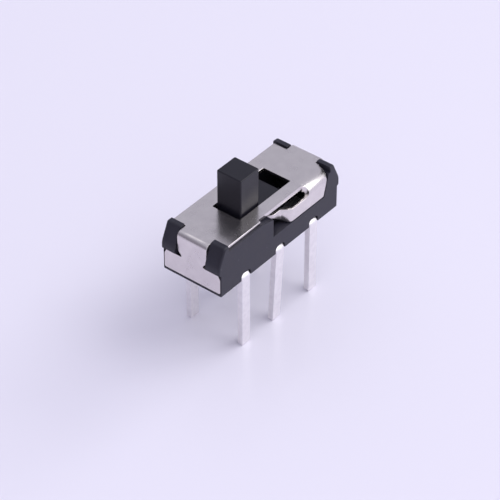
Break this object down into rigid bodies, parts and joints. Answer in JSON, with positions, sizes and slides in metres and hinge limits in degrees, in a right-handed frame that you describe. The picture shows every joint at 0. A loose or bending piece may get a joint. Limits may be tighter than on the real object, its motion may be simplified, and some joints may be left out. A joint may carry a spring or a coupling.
{
  "type": "slide switch",
  "caption": "Miniature slide switch: moulded base, folded metal cover with a detent spring arm, a square knob that slides along a slot, and straight solder leads for a circuit board.",
  "frame": {"origin": "centre of the base's underside, the face that sits on the circuit board", "axes": "+X along the knob's travel, +Z away from the board, detent spring on the -Y side"},
  "size_m": [0.0088, 0.0034, 0.0085],
  "materials": {
    "base_plastic": "moulded black nylon",
    "cover_steel": "bright nickel-plated sheet steel",
    "slider_plastic": "moulded black acetal",
    "lead_tin": "tin-plated brass strip",
    "contact_bronze": "phosphor bronze spring strip"
  },
  "bodies": {
    "housing": {"base_housing": "base_plastic", "metal_cover": "cover_steel", "terminal_right_near": "lead_tin", "terminal_right_common": "lead_tin", "terminal_right_far": "lead_tin", "terminal_left_near": "lead_tin", "terminal_left_common": "lead_tin", "terminal_left_far": "lead_tin"},
    "slider": {"slider": "slider_plastic", "moving_contact_right": "contact_bronze", "moving_contact_left": "contact_bronze"}
  },
  "joints": [
    {"name": "knob_slide", "type": "slide", "parent": "housing", "child": "slider", "axis": [1, 0, 0], "range_m": [0, 0.002]}
  ]
}
